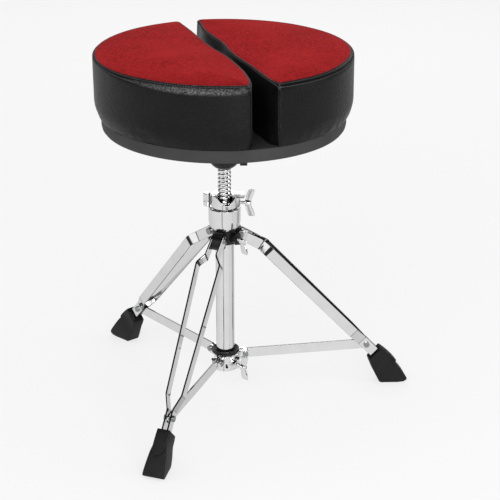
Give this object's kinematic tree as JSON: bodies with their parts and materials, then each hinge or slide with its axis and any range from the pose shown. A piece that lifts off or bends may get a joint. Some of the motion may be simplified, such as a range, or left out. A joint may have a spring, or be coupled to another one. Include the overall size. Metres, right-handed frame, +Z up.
{
  "type": "drum throne",
  "caption": "Round split-cushion stool seat in red velour and black vinyl on a chrome screw spindle over a folding double-strap tripod with rubber feet.",
  "frame": {"origin": "on the column axis at floor level, between the three feet", "axes": "+Z up along the column, -Y towards the front of the seat, where the channel between the cushions opens towards the viewer, +X to the sitter's left"},
  "size_m": [0.5802, 0.6144, 0.67],
  "materials": {
    "velour": "short-nap red velour",
    "vinyl": "soft-sheen grained black vinyl",
    "foam": "moulded seat foam, hidden",
    "plywood": "birch plywood, hidden",
    "pan_plastic": "textured charcoal plastic",
    "zinc_hardware": "zinc plate",
    "black_metal": "satin black paint",
    "knob_plastic": "black plastic",
    "chrome": "polished chrome plate",
    "nylon": "natural nylon",
    "rubber": "moulded matt rubber"
  },
  "bodies": {
    "column": {"outer_tube": "chrome", "tube_plug": "rubber", "nut_housing": "chrome", "thread_insert": "nylon", "upper_collar": "black_metal", "hip_pins": "zinc_hardware"},
    "guide": {"guide_bush": "nylon"},
    "spindle": {"threaded_rod": "chrome", "rod_end_bolt": "zinc_hardware", "seat_hub": "black_metal", "seat_bracket": "black_metal", "bracket_screws": "zinc_hardware", "seat_pan": "pan_plastic", "seat_screws": "zinc_hardware", "board_left": "plywood", "board_right": "plywood", "foam_left": "foam", "foam_right": "foam", "vinyl_left": "vinyl", "vinyl_right": "vinyl", "velour_left": "velour", "velour_right": "velour"},
    "hub_knob": {"hub_lock_knob": "knob_plastic"},
    "memory_lock": {"memory_lock": "chrome", "lock_pins": "zinc_hardware"},
    "lock_wing": {"lock_wing_bolt": "chrome"},
    "upper_wing": {"upper_wing_bolt": "chrome"},
    "lower_collar": {"lower_collar": "chrome", "lower_ring": "black_metal", "brace_pins": "zinc_hardware"},
    "lower_wing": {"lower_wing_bolt": "chrome"},
    "brace_front": {"brace_front": "chrome"},
    "leg_front": {"strap_front_a": "chrome", "strap_front_b": "chrome", "hip_heads_front": "zinc_hardware", "ankle_bolt_front": "zinc_hardware", "boot_front": "rubber"},
    "brace_right": {"brace_right": "chrome"},
    "leg_right": {"strap_right_a": "chrome", "strap_right_b": "chrome", "hip_heads_right": "zinc_hardware", "ankle_bolt_right": "zinc_hardware", "boot_right": "rubber"},
    "brace_left": {"brace_left": "chrome"},
    "leg_left": {"strap_left_a": "chrome", "strap_left_b": "chrome", "hip_heads_left": "zinc_hardware", "ankle_bolt_left": "zinc_hardware", "boot_left": "rubber"}
  },
  "joints": [
    {"name": "seat_height", "type": "slide", "parent": "column", "child": "guide", "axis": [0, 0, 1], "range_m": [0, 0.0976]},
    {"name": "seat_turn", "type": "hinge", "parent": "guide", "child": "spindle", "pos_m": [0, 0, 0.4], "axis": [0, 0, 1], "range_deg": [0, 4680]},
    {"name": "memory_lock_slide", "type": "slide", "parent": "spindle", "child": "memory_lock", "axis": [0, 0, 1], "range_m": [0, 0.04]},
    {"name": "lock_wing_turn", "type": "hinge", "parent": "memory_lock", "child": "lock_wing", "pos_m": [0.03595, -0.01753, 0.3835], "axis": [0.8988, -0.4384, 0], "range_deg": [-360, 0]},
    {"name": "hub_knob_turn", "type": "hinge", "parent": "spindle", "child": "hub_knob", "pos_m": [0.02853, -0.00927, 0.463], "axis": [0.9511, -0.309, 0], "range_deg": [-360, 0]},
    {"name": "upper_wing_turn", "type": "hinge", "parent": "column", "child": "upper_wing", "pos_m": [0.01594, -0.03116, 0.32], "axis": [0.4555, -0.8902, 0], "range_deg": [-360, 0]},
    {"name": "fold", "type": "slide", "parent": "column", "child": "lower_collar", "axis": [0, 0, 1], "range_m": [0, 0.13336]},
    {"name": "lower_wing_turn", "type": "hinge", "parent": "lower_collar", "child": "lower_wing", "pos_m": [0.01594, -0.03116, 0.068], "axis": [0.4555, -0.8902, 0], "range_deg": [-360, 0]},
    {"name": "brace_swing_front", "type": "hinge", "parent": "lower_collar", "child": "brace_front", "pos_m": [-0.02323, -0.0288, 0.0797], "axis": [0.7782, -0.628, 0], "range_deg": [0, 80.38]},
    {"name": "leg_swing_front", "type": "hinge", "parent": "brace_front", "child": "leg_front", "pos_m": [-0.16892, -0.20935, 0.0797], "axis": [-0.7782, 0.628, 0], "range_deg": [0, 43.38]},
    {"name": "brace_swing_right", "type": "hinge", "parent": "lower_collar", "child": "brace_right", "pos_m": [0.03655, -0.00572, 0.0797], "axis": [0.1547, 0.988, 0], "range_deg": [0, 80.38]},
    {"name": "leg_swing_right", "type": "hinge", "parent": "brace_right", "child": "leg_right", "pos_m": [0.26576, -0.04162, 0.0797], "axis": [-0.1547, -0.988, 0], "range_deg": [0, 43.38]},
    {"name": "brace_swing_left", "type": "hinge", "parent": "lower_collar", "child": "brace_left", "pos_m": [-0.01332, 0.03452, 0.0797], "axis": [-0.933, -0.36, 0], "range_deg": [0, 80.38]},
    {"name": "leg_swing_left", "type": "hinge", "parent": "brace_left", "child": "leg_left", "pos_m": [-0.09684, 0.25096, 0.0797], "axis": [0.933, 0.36, 0], "range_deg": [0, 43.38]}
  ],
  "couplings": [
    {"joint": "seat_height", "follows": "seat_turn", "m_per_rad": 0.0011937},
    {"joint": "brace_swing_front", "follows": "fold", "rad_per_m": 10.513},
    {"joint": "leg_swing_front", "follows": "fold", "rad_per_m": 5.6712},
    {"joint": "brace_swing_right", "follows": "fold", "rad_per_m": 10.513},
    {"joint": "leg_swing_right", "follows": "fold", "rad_per_m": 5.6712},
    {"joint": "brace_swing_left", "follows": "fold", "rad_per_m": 10.513},
    {"joint": "leg_swing_left", "follows": "fold", "rad_per_m": 5.6712}
  ]
}
